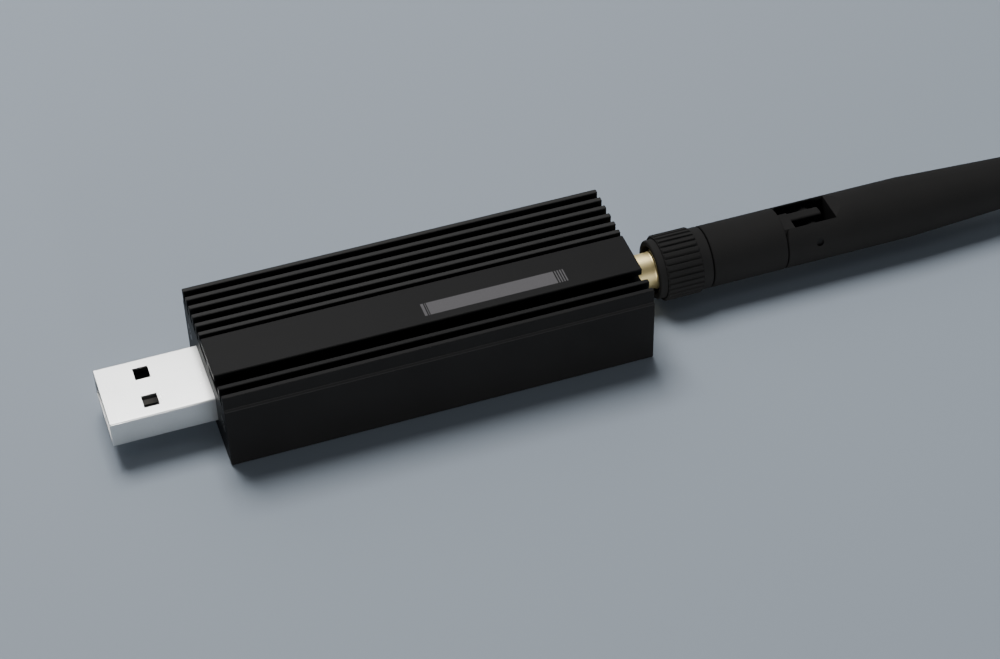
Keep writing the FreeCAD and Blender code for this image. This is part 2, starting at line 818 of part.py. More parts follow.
def blade_body():
    """The blade before the hinge is cut: a cylinder, a taper from the crease, a slim stem, a round tip."""
    taper_end = crease_x + taper_length
    slope = (antenna_radius - taper_end_radius) / taper_length
    stem_end = on_outline(blade_tip - tip_round, tip_radius)
    points = [on_outline(blade_front, 0), on_outline(blade_front, antenna_radius - edge_break),
              on_outline(blade_front + edge_break, antenna_radius), on_outline(crease_x, antenna_radius),
              on_outline(taper_end, taper_end_radius)]
    bend = Part.BezierCurve()
    bend.setPoles([points[-1], on_outline(taper_end + taper_fade, taper_end_radius - slope * taper_fade),
                   on_outline(taper_end + 2 * taper_fade, tip_radius), stem_end])
    corner = tip_round * (1 - math.sqrt(0.5))
    shoulder = on_outline(blade_tip, tip_radius - tip_round)
    tip = Part.Arc(stem_end, on_outline(blade_tip - corner, tip_radius - corner), shoulder)
    edges = [Part.LineSegment(a, b).toShape() for a, b in zip(points, points[1:])]
    edges += [bend.toShape(), tip.toShape()]
    closing = [shoulder, on_outline(blade_tip, 0), points[0]]
    edges += [Part.LineSegment(a, b).toShape() for a, b in zip(closing, closing[1:])]
    face = Part.Face(Part.Wire(edges))
    return face.revolve(Vector(0, 0, antenna_z), ALONG_X, 360)


def cheek_trims():
    """What the round ends of the cheeks leave off, above and below the hinge."""
    reach = 2 * antenna_radius
    shoulder_radius = cheek_reach + hinge_gap - shoulder_clearance
    heel_radius = pivot_z - heel_clearance
    upper = block(blade_front, pivot_x, -reach, reach, pivot_z, pivot_z + reach)
    lower = block(blade_front, pivot_x, -reach, reach, pivot_z - reach, pivot_z)
    return [upper.cut(cross_bar(reach, shoulder_radius)), lower.cut(cross_bar(reach, heel_radius))]


def blade_shell():
    """The blade: a fork at the hinge, a crease, a taper, and a long bore for the dipole."""
    top = antenna_z + antenna_radius
    facet_slope = end_wall_drop / facet_length
    above = top + facet_length * facet_slope
    slot = side_plate([(blade_front, slot_floor_z), (slot_end, slot_floor_z), (slot_end, top - end_wall_drop),
                       (slot_end + 2 * facet_length, above), (blade_front, above)], slot_half_width)
    solid = blade_body().cut([slot] + cheek_trims())
    solid = solid.cut(bar(slot_end, slot_end + blade_bore_start, coax_radius + coax_clearance))
    solid = solid.cut(bar(slot_end + blade_bore_start, blade_bore_end, blade_bore_radius))
    return solid.cut(cross_bar(antenna_radius, hinge_pin_radius))


def hinge_pin():
    """The steel pin through the fork and the tongue, a little below the surface at each end."""
    half_chord = math.sqrt(antenna_radius ** 2 - pivot_above_axis ** 2)
    return cross_bar(half_chord - hinge_pin_sink, hinge_pin_radius)


def base_coax():
    """The coax from the core to the root of the hinge."""
    return bar(core_rear + face_gap, root_end - face_gap, coax_radius)


def blade_coax():
    """The coax from the hinge to the feed of the dipole."""
    return bar(slot_end + face_gap, dipole_feed, coax_radius)


def dipole_sleeve():
    """The lower half of the dipole: a brass cup over the coax, open towards the hinge."""
    radius = blade_bore_radius - dipole_clearance
    cup = bar(dipole_front, dipole_feed, radius)
    cup = cup.cut(bar(dipole_front, dipole_feed - dipole_sleeve_wall, radius - dipole_sleeve_wall))
    return cup.cut(bar(dipole_front, dipole_feed, coax_radius + coax_clearance))


def dipole_wire():
    """The upper half of the dipole."""
    return bar(dipole_feed + face_gap, dipole_wire_end, dipole_wire_radius)


def all_parts():
    """Every piece by name."""
    return {
        "housing_extrusion": housing_extrusion(),
        "usb_end_plate": usb_end_plate(),
        "antenna_end_plate": antenna_end_plate(),
        "usb_plate_screws": plate_screws(usb_end, 1),
        "antenna_plate_screws": plate_screws(antenna_end, -1),
        "plug_shell": plug_shell(),
        "plug_insulator": plug_insulator(),
        "plug_contacts": plug_contacts(),
        "circuit_board": circuit_board(),
        "protection_chip": protection_chip(),
        "serial_chip": serial_chip(),
        "voltage_regulator": voltage_regulator(),
        "boot_switch_frame": switch_frame(1),
        "boot_button": button_shape(1, 0),
        "reset_switch_frame": switch_frame(-1),
        "reset_button": button_shape(-1, 0),
        "status_lights": status_lights(),
        "capacitors": row_on_board(capacitor_x, capacitor_size, capacitor_count, capacitor_pitch),
        "resistors": row_on_board(resistor_x, resistor_size, resistor_count, resistor_pitch),
        "inductors": inductors(),
        "shield_can": shield_can(),
        "radio_chip": radio_chip(),
        "radio_crystal": on_board(crystal_x, crystal_y, radio_crystal_size),
        "clock_crystal": on_board(crystal_x, -crystal_y, clock_crystal_size),
        "jack_body": jack_body(),
        "jack_insulator": jack_insulator(),
        "jack_centre_contact": jack_centre_contact(),
        "connector_core": connector_core(),
        "connector_insulator": connector_insulator(),
        "connector_pin": connector_pin(),
        "retaining_ring": retaining_ring(),
        "coupling_nut": coupling_nut(),
        "knurled_sleeve": knurled_sleeve(),
        "swivel_base": swivel_base(),
        "hinge_pin": hinge_pin(),
        "blade_shell": blade_shell(),
        "base_coax": base_coax(),
        "blade_coax": blade_coax(),
        "dipole_sleeve": dipole_sleeve(),
        "dipole_wire": dipole_wire(),
    }


def main():
    """Writes one file for each piece."""
    os.makedirs("parts", exist_ok=True)
    for name, shape in all_parts().items():
        shape.exportStep("parts/" + name + ".step")
        print(name, round(shape.Volume, 2), len(shape.Solids), shape.isValid())


main()
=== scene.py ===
"""The looks of a smart home radio stick: a finned black housing, a bright plug and a folding antenna."""

import logging
import math
from collections.abc import Callable, Iterable, Sequence
from dataclasses import dataclass, field
from enum import Enum

import bmesh
import bpy
from mathutils import Matrix, Vector


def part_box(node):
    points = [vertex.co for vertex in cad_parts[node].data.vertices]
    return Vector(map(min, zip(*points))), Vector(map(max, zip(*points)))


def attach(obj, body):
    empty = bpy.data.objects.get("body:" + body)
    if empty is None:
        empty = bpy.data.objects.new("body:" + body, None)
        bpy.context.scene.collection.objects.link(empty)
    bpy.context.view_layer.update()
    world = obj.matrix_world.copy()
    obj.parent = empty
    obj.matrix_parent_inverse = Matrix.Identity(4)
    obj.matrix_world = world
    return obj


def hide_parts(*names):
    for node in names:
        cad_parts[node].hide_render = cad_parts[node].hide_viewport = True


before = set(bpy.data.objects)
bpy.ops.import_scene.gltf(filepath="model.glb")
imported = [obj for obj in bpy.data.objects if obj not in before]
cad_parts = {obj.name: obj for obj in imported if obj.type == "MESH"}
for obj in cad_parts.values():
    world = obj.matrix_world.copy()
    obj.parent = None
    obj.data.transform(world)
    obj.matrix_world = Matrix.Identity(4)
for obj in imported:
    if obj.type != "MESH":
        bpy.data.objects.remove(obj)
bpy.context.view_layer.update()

log = logging.getLogger("radio_stick")

MM = 0.001
TURN = 2 * math.pi
# How far a cutter reaches past what it cuts, in millimetres.
OVERSHOOT = 1.0
# Faces that meet at more than this many degrees keep a sharp edge.
SHARP = 32.0
Colour = tuple[float, float, float]
Place = tuple[float, float, float]
Point = tuple[float, float]
Value = "Wire | float"
Settings = dict[str, object]
Inputs = dict[str | int, object]


class Run(Enum):
    """The way that the fine lines of a surface run."""

    LENGTHWISE = (60.0, 1.0, 1.0)
    CROSSWISE = (1.0, 60.0, 1.0)
    ROUND = (0.05, 60.0, 60.0)
    NONE = (1.0, 1.0, 1.0)


class Join(Enum):
    """What becomes of a second shape."""

    CUT = "DIFFERENCE"
    ADD = "UNION"


class Wire:
    """A node's output in a material, with Python's operators for its maths."""

    def __init__(self, graph: "Graph", socket: bpy.types.NodeSocket) -> None:
        """Args: graph, the material that the output belongs to; socket, the output itself."""
        self.graph = graph
        self.socket = socket

    def maths(self, operation: str, first: Value, second: Value = 0.0) -> "Wire":
        """Adds one Math node. Args: operation; first and second, its inputs. Returns: its output."""
        return self.graph.out("ShaderNodeMath", {"operation": operation}, {0: first, 1: second})

    def __add__(self, other: Value) -> "Wire":
        """Returns self + other."""
        return self.maths("ADD", self, other)

    __radd__ = __add__

    def __mul__(self, other: Value) -> "Wire":
        """Returns self * other."""
        return self.maths("MULTIPLY", self, other)

    __rmul__ = __mul__

    def __sub__(self, other: Value) -> "Wire":
        """Returns self - other."""
        return self.maths("SUBTRACT", self, other)

    def __rsub__(self, other: float) -> "Wire":
        """Returns other - self, for a number before a wire."""
        return self.maths("SUBTRACT", other, self)

    def __mod__(self, other: float) -> "Wire":
        """Returns what is left of self after whole steps of other."""
        return self.maths("FLOORED_MODULO", self, other)

    def __abs__(self) -> "Wire":
        """Returns the size of self."""
        return self.maths("ABSOLUTE", self)

    def spread(self, width: float) -> "Wire":
        """Returns self, which goes from 0 to 1, moved and scaled to go this wide about 0."""
        return (self - 0.5) * width

    def step(self, low: float, high: float) -> "Wire":
        """Returns 0 below low, 1 above high, and a smooth rise between them."""
        return self.graph.out("ShaderNodeMapRange", {"interpolation_type": "SMOOTHSTEP"},
                              {"Value": self, "From Min": low, "From Max": high}, "Result")

    def band(self, low: float, high: float, soft: float) -> "Wire":
        """Returns 1 between low and high and 0 outside. Args: low; high; soft, the width of the edges."""
        return self.step(low - soft, low + soft) * (1 - self.step(high - soft, high + soft))


class Graph:
    """A material that is put together from nodes."""

    def __init__(self, name: str) -> None:
        """Makes an empty material.

        Args:
            name: The material's name.
        """
        self.material = bpy.data.materials.new(name)
        self.material.use_nodes = True
        self.nodes = self.material.node_tree.nodes
        self.links = self.material.node_tree.links
        self.nodes.clear()

    def node(self, kind: str, settings: Settings, inputs: Inputs) -> bpy.types.Node:
        """Adds a node.

        Args:
            kind: The node's type.
            settings: Its properties, set first.
            inputs: The values or wires of its sockets, by name or number.

        Returns:
            The new node.
        """
        made = self.nodes.new(kind)
        for name, value in settings.items():
            setattr(made, name, value)
        for name, value in inputs.items():
            if isinstance(value, Wire):
                self.links.new(value.socket, made.inputs[name])
            else:
                made.inputs[name].default_value = value
        return made

    def out(self, kind: str, settings: Settings, inputs: Inputs, output: str | int = 0) -> Wire:
        """Adds a node and returns one of its outputs. Args are those of node, and output, its name."""
        return Wire(self, self.node(kind, settings, inputs).outputs[output])

    def scaled(self, size: float, run: Run = Run.NONE) -> Wire:
        """Returns the place in the frame in units of a size. Args: size, in metres; run, its stretch."""
        place = self.out("ShaderNodeTexCoord", {}, {}, "Object")
        return self.out("ShaderNodeVectorMath", {"operation": "MULTIPLY"},
                        {0: place, 1: [1 / (size * stretch) for stretch in run.value]})

    def coordinates(self) -> tuple[Wire, ...]:
        """Returns x, y and z in the frame, in millimetres."""
        split = self.node("ShaderNodeSeparateXYZ", {}, {0: self.scaled(MM)})
        return tuple(Wire(self, socket) for socket in split.outputs)

    def noise(self, size: float, detail: float = 2.0, run: Run = Run.NONE) -> Wire:
        """Returns a noise from 0 to 1. Args: size, of its grains in metres; detail, its layers; run."""
        inputs = {"Vector": self.scaled(size, run), "Scale": 1.0, "Detail": detail}
        return self.out("ShaderNodeTexNoise", {}, inputs)

    def cells(self, size: float) -> Wire:
        """Returns the distance from the middles of a pattern of cells. Args: size, of a cell in metres."""
        return self.out("ShaderNodeTexVoronoi", {}, {"Vector": self.scaled(size), "Scale": 1.0}, "Distance")

    def mix(self, share: Value, low: "Colour | Wire", high: "Colour | Wire") -> Wire:
        """Returns a colour that goes from low to high as share goes from 0 to 1."""
        ends = [end if isinstance(end, Wire) else (*end, 1.0) for end in (low, high)]
        return self.out("ShaderNodeMix", {"data_type": "RGBA"}, {0: share, 6: ends[0], 7: ends[1]}, 2)

    def shaded(self, share: Value, colour: Colour, low: float, high: float = 1.0) -> Wire:
        """Returns a colour that goes from low to high times itself as share goes from 0 to 1."""
        return self.mix(share, shade_of(colour, low), shade_of(colour, high))

    def bump(self, height: Wire, depth: float) -> Wire:
        """Returns a normal that a height from 0 to 1 has bent. Args: height; depth, in metres."""
        inputs = {"Height": height, "Distance": depth, "Strength": 1.0}
        return self.out("ShaderNodeBump", {}, inputs, "Normal")

    def surface(self, inputs: Inputs) -> bpy.types.Material:
        """Ends the material in one shader.

        Args:
            inputs: The values or wires of the shader's sockets.

        Returns:
            The material.
        """
        shader = self.node("ShaderNodeBsdfPrincipled", {}, inputs)
        self.node("ShaderNodeOutputMaterial", {}, {"Surface": Wire(self, shader.outputs[0])})
        return self.material


def shade_of(colour: Colour, factor: float) -> Colour:
    """Returns a colour made lighter or darker by a factor."""
    return tuple(min(1.0, part * factor) for part in colour)


@dataclass(frozen=True)
class PrintedBar:
    """A blank pale bar printed on the plateau, with upright strokes at both of its ends."""

    strokes: tuple[Point, ...] = ((-0.6, -0.18), (0.01, 0.12), (0.27, 20.15), (20.36, 20.56),
                                  (20.76, 20.96), (21.16, 21.36), (21.56, 21.76))
    across: Point = (-5.87, -3.22)
    height: float = 13.3
    edge: float = 0.015
    fade: float = 0.01

    def mask(self, graph: Graph) -> Wire:
        """Works out where the print is.

        Args:
            graph: The material that is printed on.

        Returns:
            1 on the print and 0 elsewhere.
        """
        x, y, z = graph.coordinates()
        first, *others = [x.band(start, end, self.edge) for start, end in self.strokes]
        inked = sum(others, first)
        return inked * y.band(*self.across, self.edge) * z.step(self.height - self.fade, self.height)


@dataclass(frozen=True)
class PaintedHighlight:
    """A zone of the housing painted a little lighter, in patches: a painted highlight where light would
    catch it.

    Each pair of numbers is a soft step: the zone begins at rise and ends at fall in height, and lies beyond
    inner across the housing.
    """

    colour: Colour
    rise: Point
    inner: Point
    fall: Point = (20.0, 21.0)
    both_sides: bool = False
    weakest: float = 0.8
    patch_size: float = 2.5 * MM

    def mask(self, graph: Graph) -> Wire:
        """Works out where the painted highlight lies.

        Args:
            graph: The material that carries the painted highlight.

        Returns:
            How strong the painted highlight is, from 0 to about 1.
        """
        _, y, z = graph.coordinates()
        across = abs(y) if self.both_sides else y
        zone = z.step(*self.rise) * (1 - z.step(*self.fall)) * across.step(*self.inner)
        patches = graph.noise(self.patch_size, 4.0, Run.LENGTHWISE)
        return zone * (self.weakest + (2 - 2 * self.weakest) * patches)


@dataclass(frozen=True)
class BlackAnodising:
    """Satin black anodised aluminium with faint lines from the die and, where set, painted highlights and a
    print.
    """

    name: str
    colour: Colour = (0.0142, 0.014, 0.0141)
    roughness: float = 0.45
    specular: float = 0.06
    printed: PrintedBar | None = None
    painted_highlights: tuple[PaintedHighlight, ...] = ()
    ink: Colour = (0.15, 0.145, 0.15)
    ink_roughness: float = 0.15
    cloud_size: float = 11 * MM
    grain_size: float = 0.11 * MM
    line_size: float = 0.22 * MM
    speckle_size: float = 0.16 * MM
    depth: float = 0.004 * MM

    def build(self) -> bpy.types.Material:
        """Builds the material.

        Returns:
            The material.
        """
        graph = Graph(self.name)
        cloud = graph.noise(self.cloud_size, 3.0)
        grain = graph.noise(self.grain_size)
        lines = graph.noise(self.line_size, run=Run.LENGTHWISE)
        colour = graph.shaded(cloud, self.colour, 0.85, 1.25)
        roughness = self.roughness + cloud.spread(0.1) + lines.spread(0.12) + grain.spread(0.06)
        # Painted highlights: lighter colour where light would catch the ledges and the fins' tips.
        for highlight in self.painted_highlights:
            colour = graph.mix(highlight.mask(graph), colour, highlight.colour)
        if self.printed:
            mask = self.printed.mask(graph)
            speckle = graph.noise(self.speckle_size)
            colour = graph.mix(mask, colour, graph.shaded(speckle, self.ink, 0.8))
            roughness = roughness + mask * self.ink_roughness
        return graph.surface({
            "Base Color": colour,
            "Roughness": roughness,
            "Specular IOR Level": self.specular,
            "Normal": graph.bump(0.65 * grain + 0.35 * lines, self.depth),
        })


@dataclass(frozen=True)
class PlatedMetal:
    """Plated, rolled or turned metal, with its fine lines and a slight haze from handling."""

    name: str
    colour: Colour
    roughness: float = 0.25
    run: Run = Run.LENGTHWISE
    depth: float = 0.0015 * MM
    haze: float = 0.14
    cloud_size: float = 5 * MM
    line_size: float = 0.07 * MM
    pit_size: float = 0.35 * MM
    pit_range: Point = (0.66, 0.74)

    def build(self) -> bpy.types.Material:
        """Builds the material.

        Returns:
            The material.
        """
        graph = Graph(self.name)
        cloud = graph.noise(self.cloud_size, 4.0)
        lines = graph.noise(self.line_size, run=self.run)
        pits = graph.noise(self.pit_size, 3.0).step(*self.pit_range)
        colour = graph.shaded(cloud, self.colour, 0.9)
        return graph.surface({
            "Base Color": graph.mix(pits, colour, shade_of(self.colour, 0.8)),
            "Metallic": 1.0,
            "Roughness": self.roughness + cloud.spread(self.haze) + lines.spread(0.1) + 0.08 * pits,
            "Normal": graph.bump(lines - 0.4 * pits, self.depth),
        })


@dataclass(frozen=True)
class MouldedPlastic:
    """Moulded plastic with a spark-eroded texture and, where set, the mould's parting line along it."""

    name: str
    colour: Colour
    roughness: float = 0.6
    specular: float = 0.3
    texture: float = 0.16 * MM
    depth: float = 0.01 * MM
    parting_z: float | None = None
    parting_half_width: float = 0.03
    cloud_size: float = 8 * MM
    coarseness: float = 3.0

    def build(self) -> bpy.types.Material:
        """Builds the material.

        Returns:
            The material.
        """
        graph = Graph(self.name)
        cloud = graph.noise(self.cloud_size, 3.0)
        grain = graph.noise(self.texture, 3.0)
        height = 0.7 * grain + 0.3 * graph.cells(self.texture * self.coarseness)
        roughness = self.roughness + cloud.spread(0.08) + grain.spread(0.14)
        if self.parting_z is not None:
            _, _, z = graph.coordinates()
            half = self.parting_half_width
            line = z.band(self.parting_z - half, self.parting_z + half, half)
            height = height + 0.9 * line
            roughness = roughness - 0.08 * line
        return graph.surface({
            "Base Color": graph.shaded(cloud, self.colour, 0.88, 1.15),
            "Roughness": roughness,
            "Specular IOR Level": self.specular,
            "Normal": graph.bump(height, self.depth),
        })


@dataclass(frozen=True)
class BoardLaminate:
    """A circuit board: green mask over copper tracks, plated holes, and bare fibre at the cut edges."""

    name: str
    top: float
    bottom: float
    skin: Point = (0.01, 0.03)
    mask_colour: Colour = (0.012, 0.12, 0.045)
    track_colour: Colour = (0.03, 0.22, 0.09)
    fibre_colour: Colour = (0.42, 0.38, 0.2)
    gold_colour: Colour = (0.8, 0.6, 0.28)
    lane_size: float = 2.2 * MM
    via_pitch: float = 1.9 * MM
    via_edge: Point = (0.09, 0.12)
    fibre_size: float = 0.12 * MM
    depth: float = 0.03 * MM

    def build(self) -> bpy.types.Material:
        """Builds the material.

        Returns:
            The material.
        """
        graph = Graph(self.name)
        _, _, z = graph.coordinates()
        near, deep = self.skin
        underside = 1 - z.step(self.bottom + near, self.bottom + deep)
        face = underside + z.step(self.top - deep, self.top - near)
        lanes = graph.out("ShaderNodeTexBrick", {"offset": 0.35, "squash": 1.0}, {
            "Vector": graph.scaled(self.lane_size), "Scale": 1.0, "Mortar Size": 0.06,
            "Brick Width": 1.4, "Row Height": 0.3}, "Fac")
        vias = 1 - graph.cells(self.via_pitch).step(*self.via_edge)
        fibre = graph.noise(self.fibre_size, 3.0, Run.LENGTHWISE)
        green = graph.mix(lanes, self.mask_colour, self.track_colour)
        edge = graph.shaded(fibre, self.fibre_colour, 0.7)
        return graph.surface({
            "Base Color": graph.mix(face, edge, graph.mix(vias, green, self.gold_colour)),
            "Metallic": vias * face,
            "Roughness": 0.62 - 0.34 * face + 0.06 * fibre,
            "Normal": graph.bump(0.6 * lanes + 0.4 * vias, self.depth),
        })


@dataclass(frozen=True)
class TinnedBody:
    """A small part that stands on the board: a body of its own colour with tinned ends or leads.

    The ends are what lies further from the middle than reach, along one axis.
    """

    name: str
    colour: Colour
    middle: float
    reach: float
    axis: int = 0
    edge: float = 0.01
    roughness: float = 0.5
    grain: float = 0.09 * MM
    tin: Colour = (0.72, 0.72, 0.7)
    tin_roughness: float = 0.3
    tin_grain: float = 0.3 * MM
    depth: float = 0.006 * MM

    def build(self) -> bpy.types.Material:
        """Builds the material.

        Returns:
            The material.
        """
        graph = Graph(self.name)
        along = graph.coordinates()[self.axis]
        ends = abs(along - self.middle).step(self.reach - self.edge, self.reach + self.edge)
        speckle = graph.noise(self.grain, 3.0)
        solder = graph.noise(self.tin_grain, 3.0)
        body = graph.shaded(speckle, self.colour, 0.8, 1.2)
        smoothed = ends * (self.roughness - self.tin_roughness)
        return graph.surface({
            "Base Color": graph.mix(ends, body, graph.shaded(solder, self.tin, 0.8)),
            "Metallic": ends,
            "Roughness": self.roughness + speckle.spread(0.12) - smoothed,
            "Normal": graph.bump(speckle * (1 - ends) + solder * ends, self.depth),
        })


@dataclass(frozen=True)
class WoundCoil:
    """A ferrite coil: grey square ends, with copper turns in the recess on top and round the core."""

    name: str
    foot: float
    head: float
    ferrite: Colour = (0.07, 0.07, 0.075)
    copper: Colour = (0.72, 0.36, 0.16)
    edge: float = 0.01
    wire_size: float = 0.12
    wire_slope: float = 16.0
    grain: float = 0.08 * MM
    depth: float = 0.03 * MM

    def build(self) -> bpy.types.Material:
        """Builds the material.

        Returns:
            The material.
        """
        graph = Graph(self.name)
        _, _, z = graph.coordinates()
        wound = z.band(self.foot, self.head, self.edge)
        # Each copper turn is painted darker towards its edges: painted shade in the creases between turns,
        # which the bump also dents.
        turn = abs((z % self.wire_size) - self.wire_size / 2) * self.wire_slope
        speckle = graph.noise(self.grain, 3.0)
        stone = graph.shaded(speckle, self.ferrite, 0.7, 1.3)
        return graph.surface({
            "Base Color": graph.mix(wound, stone, graph.shaded(turn, self.copper, 1.0, 0.4)),
            "Metallic": 0.9 * wound,
            "Roughness": 0.75 - 0.4 * wound + 0.08 * speckle,
            "Normal": graph.bump(0.2 * speckle - turn * wound, self.depth),
        })


@dataclass(frozen=True)
class ClearLens:
    """A tiny light: a white moulded cup with a clear drop over a yellow phosphor."""

    name: str
    lens_z: float
    edge: float = 0.02
    cup: Colour = (0.75, 0.75, 0.72)
    phosphor: Colour = (0.8, 0.62, 0.18)
    grain: float = 0.3 * MM
    depth: float = 0.01 * MM

    def build(self) -> bpy.types.Material:
        """Builds the material.

        Returns:
            The material.
        """
        graph = Graph(self.name)
        _, _, z = graph.coordinates()
        drop = z.step(self.lens_z - self.edge, self.lens_z)
        cloud = graph.noise(self.grain)
        return graph.surface({
            "Base Color": graph.mix(drop, graph.shaded(cloud, self.cup, 0.9), self.phosphor),
            "Roughness": 0.45 - 0.35 * drop,
            "Coat Weight": drop,
            "Normal": graph.bump(cloud, self.depth),
        })


@dataclass(frozen=True)
class SlickTube:
    """Smooth extruded plastic, such as a cable's jacket or the white tube in a connector."""

    name: str
    colour: Colour
    roughness: float = 0.35
    translucence: float = 0.0
    scatter: float = 0.4 * MM
    cloud_size: float = 3 * MM
    line_size: float = 0.15 * MM
    depth: float = 0.004 * MM

    def build(self) -> bpy.types.Material:
        """Builds the material.

        Returns:
            The material.
        """
        graph = Graph(self.name)
        cloud = graph.noise(self.cloud_size, 3.0)
        lines = graph.noise(self.line_size, run=Run.LENGTHWISE)
        return graph.surface({
            "Base Color": graph.shaded(cloud, self.colour, 0.85, 1.1),
            "Roughness": self.roughness + lines.spread(0.15) + cloud.spread(0.1),
            "Subsurface Weight": self.translucence,
            "Subsurface Scale": self.scatter,
            "Normal": graph.bump(lines, self.depth),
        })


class Form:
    """A mesh in the making, in millimetres, in the frame."""

    def __init__(self, name: str) -> None:
        """Starts an empty mesh. Args: name, of the piece."""
        self.name = name
        self.mesh = bmesh.new()

    def loft(self, rings: Sequence[Iterable[Sequence[float]]], closed: bool = False) -> "Form":
        """Joins rings with as many points each into one skin of four-sided faces.

        Args:
            rings: The rings, in order.
            closed: Whether the last ring joins the first; otherwise both ends get a flat face.

        Returns:
            The form.
        """
        made = [[self.mesh.verts.new(point) for point in points] for points in rings]
        for first, second in zip(made, made[1:] + (made[:1] if closed else [])):
            for place, corner in enumerate(first):
                after = (place + 1) % len(first)
                self.mesh.faces.new((corner, first[after], second[after], second[place]))
        if not closed:
            self.mesh.faces.new(reversed(made[0]))
            self.mesh.faces.new(made[-1])
        return self

    def along(self, outline: Sequence[Point], low: float, high: float, lift: float = 0.0) -> "Form":
        """Adds a prism along X. Args: outline, in y and z; low; high; lift, of z. Returns: the form."""
        return self.loft([[(x, y, z + lift) for y, z in outline] for x in (low, high)])

    def upright(self, outline: Sequence[Point], low: float, high: float) -> "Form":
        """Adds a prism that stands up. Args: outline, in x and y; low; high. Returns: the form."""
        return self.loft([[(x, y, z) for x, y in outline] for z in (low, high)])

    def block(self, low: Sequence[float], high: Sequence[float]) -> "Form":
        """Adds a block between two corners and returns the form. Args: low; high."""
        outline = [(low[1], low[2]), (high[1], low[2]), (high[1], high[2]), (low[1], high[2])]
        return self.along(outline, low[0], high[0])

    def turned(self, outline: Sequence[Point], angles: Sequence[float], centre: Point,
               radius: Callable[[float, float, float], float], closed: bool = False) -> "Form":
        """Adds a body turned about a line along X.

        Args:
            outline: Its (x, radius) points, in order.
            angles: Where round the line it has corners.
            centre: The line's y and z.
            radius: Gives the radius at an x, an outline radius and an angle, for ribs and threads.
            closed: Whether the outline closes on itself, as a tube's does.

        Returns:
            The form.
        """
        rings = []
        for x, r in outline:
            sizes = [radius(x, r, angle) for angle in angles]
            rings.append([(x, centre[0] + size * math.sin(angle), centre[1] + size * math.cos(angle))
                          for size, angle in zip(sizes, angles)])
        return self.loft(rings, closed)

    def object(self) -> bpy.types.Object:
        """Ends the form.

        Returns:
            Its object, still in millimetres.
        """
        bmesh.ops.recalc_face_normals(self.mesh, faces=self.mesh.faces)
        mesh = bpy.data.meshes.new(self.name)
        self.mesh.to_mesh(mesh)
        self.mesh.free()
        return show(self.name, mesh)


def show(name: str, data: bpy.types.ID) -> bpy.types.Object:
    """Puts a mesh, a light or a camera into the scene.

    Args:
        name: The name of its object.
        data: The mesh, light or camera.

    Returns:
        The object.
    """
    made = bpy.data.objects.new(name, data)
    bpy.context.scene.collection.objects.link(made)
    return made


def even_angles(count: int) -> list[float]:
    """Returns angles at even steps round a turn."""
    return [TURN * place / count for place in range(count)]


def arc(centre: Point, radius: float, start: float, end: float, count: int = 5) -> list[Point]:
    """Returns points on an arc. Args: centre; radius; start and end, in degrees; count."""
    angles = [math.radians(start + (end - start) * place / (count - 1)) for place in range(count)]
    return [(centre[0] + radius * math.cos(angle), centre[1] + radius * math.sin(angle)) for angle in angles]


def rounded_rectangle(width: float, height: float, corner: float, steps: int = 6) -> list[Point]:
    """Returns its outline about its middle. Args: width; height; corner, its radius; steps, of each arc."""
    x, y = width / 2 - corner, height / 2 - corner
    return [point for middle, start in (((x, y), 0), ((-x, y), 90), ((-x, -y), 180), ((x, -y), 270))
            for point in arc(middle, corner, start, start + 90, steps)]


def ribbon(path: Sequence[Point], width: float) -> list[Point]:
    """Draws a narrow band along a path, with mitred corners.

    Args:
        path: The points of its middle line.
        width: Its width.

    Returns:
        Its outline.
    """
    normals = []
    for (x0, y0), (x1, y1) in zip(path, path[1:]):
        length = math.hypot(x1 - x0, y1 - y0)
        normals.append(((y0 - y1) / length, (x1 - x0) / length))
    shifts = []
    for first, second in zip(normals[:1] + normals, normals + normals[-1:]):
        reach = width / 2 / (1 + first[0] * second[0] + first[1] * second[1])
        shifts.append(((first[0] + second[0]) * reach, (first[1] + second[1]) * reach))
    left, right = ([(x + side * dx, y + side * dy) for (x, y), (dx, dy) in zip(path, shifts)]
                   for side in (-1, 1))
    return left + right[::-1]


def apply_modifier(target: bpy.types.Object, kind: str, settings: Settings) -> None:
    """Adds a modifier to a piece and makes it permanent.

    Args:
        target: The piece.
        kind: The modifier's type.
        settings: Its properties.
    """
    modifier = target.modifiers.new(kind.lower(), kind)
    for name, value in settings.items():
        setattr(modifier, name, value)
    bpy.context.view_layer.update()
    shaped = bpy.data.meshes.new_from_object(target.evaluated_get(bpy.context.evaluated_depsgraph_get()))
    target.modifiers.clear()
    target.data = shaped


def combine(target: bpy.types.Object, other: bpy.types.Object, join: Join) -> None:
    """Cuts a shape from a piece or adds it, and then removes the shape. Args: target; other; join."""
    apply_modifier(target, "BOOLEAN", {"object": other, "operation": join.value, "solver": "EXACT"})
    bpy.data.objects.remove(other)


def soften(target: bpy.types.Object, width: float, least_angle: float) -> None:
    """Rounds the sharp edges of a piece. Args: target; width, of the rounding; least_angle, in degrees."""
    apply_modifier(target, "BEVEL", {"width": width, "segments": 2, "limit_method": "ANGLE",
                                     "angle_limit": math.radians(least_angle)})


def seat(piece: bpy.types.Object, body: str, node: str, material: bpy.types.Material) -> None:
    """Brings a piece to metres, dresses it and gives it to its body.

    Args:
        piece: The piece, in millimetres.
        body: The body that carries it.
        node: The CAD node that it stands for.
        material: Its finish.
    """
    piece.data.transform(Matrix.Scale(MM, 4))
    piece.data.polygons.foreach_set("use_smooth", [True] * len(piece.data.polygons))
    piece.data.set_sharp_from_angle(angle=math.radians(SHARP))
    apply_modifier(piece, "WEIGHTED_NORMAL", {"keep_sharp": True, "mode": "FACE_AREA"})
    piece.data.materials.clear()
    piece.data.materials.append(material)
    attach(piece, body)
    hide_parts(node)
    log.info("%s: %d faces, stands for %s", piece.name, len(piece.data.polygons), node)


